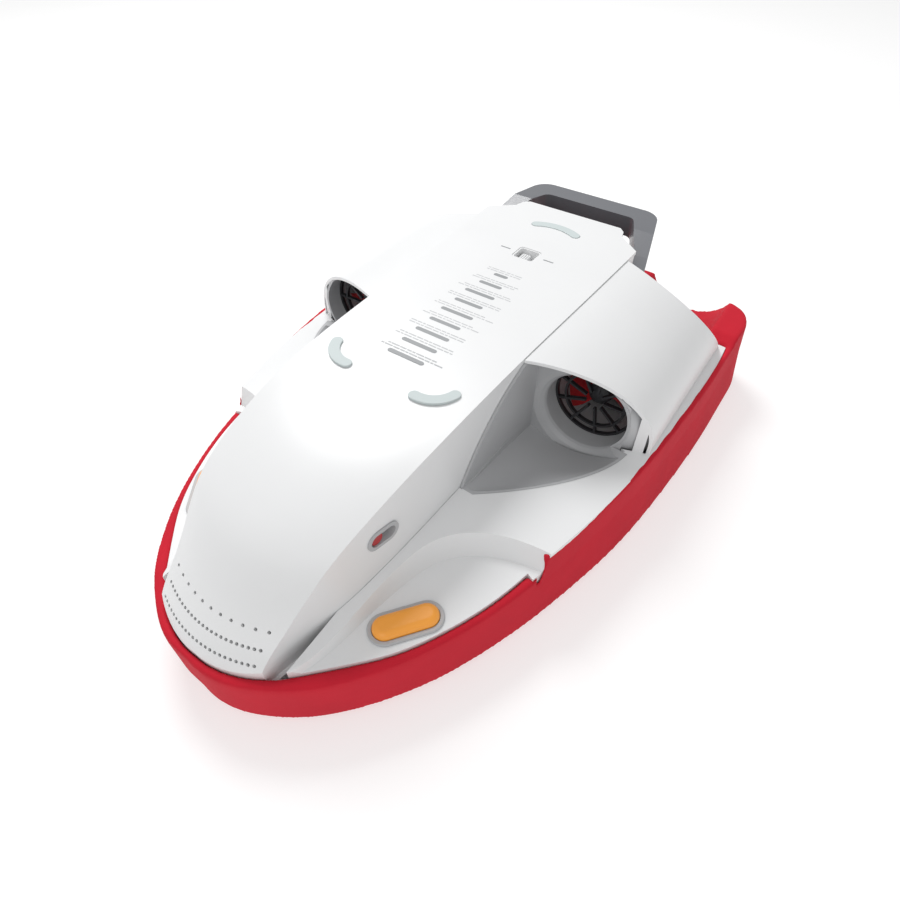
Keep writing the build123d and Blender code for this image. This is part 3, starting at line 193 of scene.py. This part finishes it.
foam_source = nodes["foam_deck"].data
filled = bmesh.new()
filled.from_mesh(foam_source)
bmesh.ops.remove_doubles(filled, verts=filled.verts, dist=1e-6)
strips = bmesh.new()
for side in (1, -1):
    rim_strip(strips, foam_source, side)
bmesh.ops.recalc_face_normals(strips, faces=strips.faces)
strip_mesh = bpy.data.meshes.new("rim_strips")
strips.to_mesh(strip_mesh)
strips.free()
filled.from_mesh(strip_mesh)
joined_mesh = bpy.data.meshes.new("foam_joined")
filled.to_mesh(joined_mesh)
filled.free()
foam_mesh = applied(
    joined_mesh,
    ("REMESH", {"mode": "VOXEL", "voxel_size": 0.0018, "adaptivity": 0.0}),
    ("SMOOTH", {"factor": 0.5, "iterations": 3}),
)
foam = new_piece("foam_board", foam_mesh, "hull", FOAM)
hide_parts("foam_deck")


# ---------------------------------------------------------------- wall between bell and cowl
DUCT_X, DUCT_Z = 0.108, 0.086
SKIRT_INNER, SKIRT_INNER_Y = 0.0330, 0.0206
COWL_CENTRE = (0.066, 0.069)
COWL_REACH, COWL_RISE = 0.0888, 0.0588
LIP_Y, LIP_SWEEP, LIP_X = -0.005, 0.39, 0.067
SKIRT_BEHIND = 0.006  # how far behind the cowl's lip the wall meets it
SKIRT_LOW_Z = 0.0560
SKIRT_START, SKIRT_TURN = -36, 84  # degrees
SKIRT_STEPS, SKIRT_BANDS = 28, 6


def skirt(name, side):
    """A smooth wall from the bell mouth's ring out to the inside of the cowl."""
    made = bmesh.new()
    rows = []
    for step in range(SKIRT_STEPS + 1):
        turn = math.radians(SKIRT_START + SKIRT_TURN * step / SKIRT_STEPS)
        outer_x = COWL_CENTRE[0] + COWL_REACH * math.cos(turn)
        outer_z = COWL_CENTRE[1] + COWL_RISE * math.sin(turn)
        outer_z = max(outer_z, SKIRT_LOW_Z)
        heading = math.atan2(outer_z - DUCT_Z, outer_x - DUCT_X)
        inner = Vector((DUCT_X + SKIRT_INNER * math.cos(heading), SKIRT_INNER_Y,
                        DUCT_Z + SKIRT_INNER * math.sin(heading)))
        outer_y = LIP_Y + LIP_SWEEP * (outer_x - LIP_X) + SKIRT_BEHIND
        outer = Vector((outer_x, max(outer_y, SKIRT_INNER_Y), outer_z))
        row = []
        for band in range(SKIRT_BANDS + 1):
            share = band / SKIRT_BANDS
            point = inner.lerp(outer, share)
            row.append(made.verts.new((point.x * side, point.y, point.z)))
        rows.append(row)
    for before, after in zip(rows, rows[1:]):
        for band in range(SKIRT_BANDS):
            made.faces.new((before[band], after[band], after[band + 1], before[band + 1]))
    bmesh.ops.recalc_face_normals(made, faces=made.faces)
    bmesh.ops.solidify(made, geom=made.faces, thickness=0.0012)
    mesh_data = bpy.data.meshes.new(name)
    made.to_mesh(mesh_data)
    made.free()
    return new_piece(name, mesh_data, "hull", LOOKS["grey_plastic"])


skirt("bell_wall_left", 1)
skirt("bell_wall_right", -1)

# ---------------------------------------------------------------- printed marks
def pill_outline(centre, half_x, half_y, turn=0.0, steps=6):
    """Points of a pill, or of a plain bar when steps is 0, in the cover's flat top."""
    points = []
    radius = min(half_x, half_y)
    if steps == 0:
        points = [(half_x, half_y), (-half_x, half_y), (-half_x, -half_y), (half_x, -half_y)]
    else:
        for sign in (1, -1):
            for step in range(steps + 1):
                angle = math.pi * (step / steps - 0.5) + (0 if sign > 0 else math.pi)
                points.append((sign * (half_x - radius) + radius * math.cos(angle), radius * math.sin(angle)))
    cos, sin = math.cos(turn), math.sin(turn)
    return [(centre[0] + x * cos - y * sin, centre[1] + x * sin + y * cos) for x, y in points]


def printed(name, outlines, look, low, high, body="hull"):
    """A thin raised print of several outlines on the flat top."""
    made = bmesh.new()
    for outline in outlines:
        lower = [made.verts.new((x, y, low)) for x, y in outline]
        upper = [made.verts.new((x, y, high)) for x, y in outline]
        made.faces.new(upper)
        made.faces.new(list(reversed(lower)))
        for index in range(len(outline)):
            after = (index + 1) % len(outline)
            made.faces.new((lower[index], lower[after], upper[after], upper[index]))
    mesh_data = bpy.data.meshes.new(name)
    made.to_mesh(mesh_data)
    made.free()
    return new_piece(name, mesh_data, body, look, smooth=False)


PRINT_LOW = TOP_Z - 0.0002
PRINT_HIGH = TOP_Z + 0.00006
FIRST_ROW_Y = -0.048
ROW_PITCH = 0.0153
ROW_HALVES = (0.0150, 0.0146, 0.0142, 0.0132, 0.0138, 0.0122, 0.0130, 0.0100, 0.0062)
pills = []
dashes = []
for row, half in enumerate(ROW_HALVES):
    y = FIRST_ROW_Y + row * ROW_PITCH
    pills.append(pill_outline((0.0, y), half, 0.00175))
    for line, extra in ((0.0042, 0.0090), (0.0068, 0.0050 + 0.002 * (row % 3))):
        reach = half + extra
        x = -reach
        index = 0
        while x < reach:
            length = 0.0022 + 0.0014 * ((row * 5 + index * 3) % 4)
            dashes.append(pill_outline((x + length / 2, y + line), length / 2, 0.00045, steps=0))
            x += length + 0.0009
            index += 1
printed("note_bars", pills, PRINT, PRINT_LOW, PRINT_HIGH)
printed("note_lines", dashes, FAINT, PRINT_LOW, PRINT_HIGH)
latch_y = (LATCH_LOW.y + LATCH_HIGH.y) / 2
latch_marks = [
    pill_outline((side * 0.020, latch_y + shift), 0.0045, 0.0007, steps=0)
    for side in (-1, 1)
    for shift in (0.0,)
]
printed("latch_marks", latch_marks, PRINT, PRINT_LOW, PRINT_HIGH)

# ---------------------------------------------------------------- camera, floor and light
camera_data = bpy.data.cameras.new("camera")
camera_data.lens = 24.76
camera_data.sensor_width = 36.0
camera = bpy.data.objects.new("camera", camera_data)
camera.location = (0.213, -0.303, 0.392)
forward = Vector((-0.390, 0.563, -0.7285))
camera.rotation_euler = forward.to_track_quat("-Z", "Y").to_euler()
bpy.context.scene.collection.objects.link(camera)
bpy.context.scene.camera = camera

floor_mesh = bpy.data.meshes.new("floor")
made = bmesh.new()
bmesh.ops.create_grid(made, x_segments=2, y_segments=2, size=6.0)
made.to_mesh(floor_mesh)
made.free()
floor = bpy.data.objects.new("floor", floor_mesh)
bpy.context.scene.collection.objects.link(floor)
floor.location.z = BOARD_LOW.z - 0.0002
floor_look = surface("floor_look", (0.50, 0.50, 0.50), 0.9, 40.0, 0.00002, tint=0.002)
floor_shader = floor_look.node_tree.nodes["Principled BSDF"]
floor_shader.inputs["Emission Color"].default_value = (1.0, 1.0, 1.0, 1.0)
floor_shader.inputs["Emission Strength"].default_value = 0.55
floor_mesh.materials.append(floor_look)

world = bpy.data.worlds.new("world")
bpy.context.scene.world = world
world.use_nodes = True
world.node_tree.nodes["Background"].inputs["Color"].default_value = (1.0, 1.0, 1.0, 1.0)
world.node_tree.nodes["Background"].inputs["Strength"].default_value = 0.56
bpy.context.scene.view_settings.view_transform = "Standard"


def lamp(name, place, target, size, power):
    data = bpy.data.lights.new(name, "AREA")
    data.shape = "DISK"
    data.size = size
    data.energy = power
    made = bpy.data.objects.new(name, data)
    made.location = place
    made.rotation_euler = (Vector(target) - Vector(place)).to_track_quat("-Z", "Y").to_euler()
    bpy.context.scene.collection.objects.link(made)


lamp("key", (-0.9, 0.6, 1.5), (0, 0, 0.05), 0.8, 21.0)
lamp("fill", (0.4, -1.4, 1.2), (0, 0, 0.05), 1.4, 5.0)
